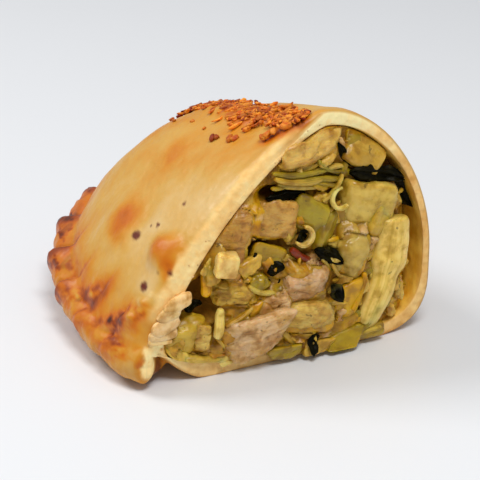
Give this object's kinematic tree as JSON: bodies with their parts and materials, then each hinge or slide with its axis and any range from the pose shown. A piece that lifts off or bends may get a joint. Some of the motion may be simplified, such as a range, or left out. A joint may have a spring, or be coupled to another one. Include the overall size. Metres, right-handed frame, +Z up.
{
  "type": "half empanada",
  "caption": "Half of a baked empanada, cut across the middle: a golden crust with a twisted crimped edge round a chunky chicken, leek and spinach filling, with baked cheese crumbs on top.",
  "frame": {"origin": "centre of the bounding box in plan, at the height of the flat base it rests on", "axes": "+Z up from the base; +Y from the cut face to the closed tip; +X from the crimped edge to the folded side"},
  "size_m": [0.0724, 0.0772, 0.0528],
  "materials": {
    "crust": "baked golden pastry with a satin glaze, browner on the crimped edge",
    "filling": "moist creamy chicken and greens"
  },
  "bodies": {
    "root": {"crust": "crust", "filling": "filling"}
  },
  "joints": []
}
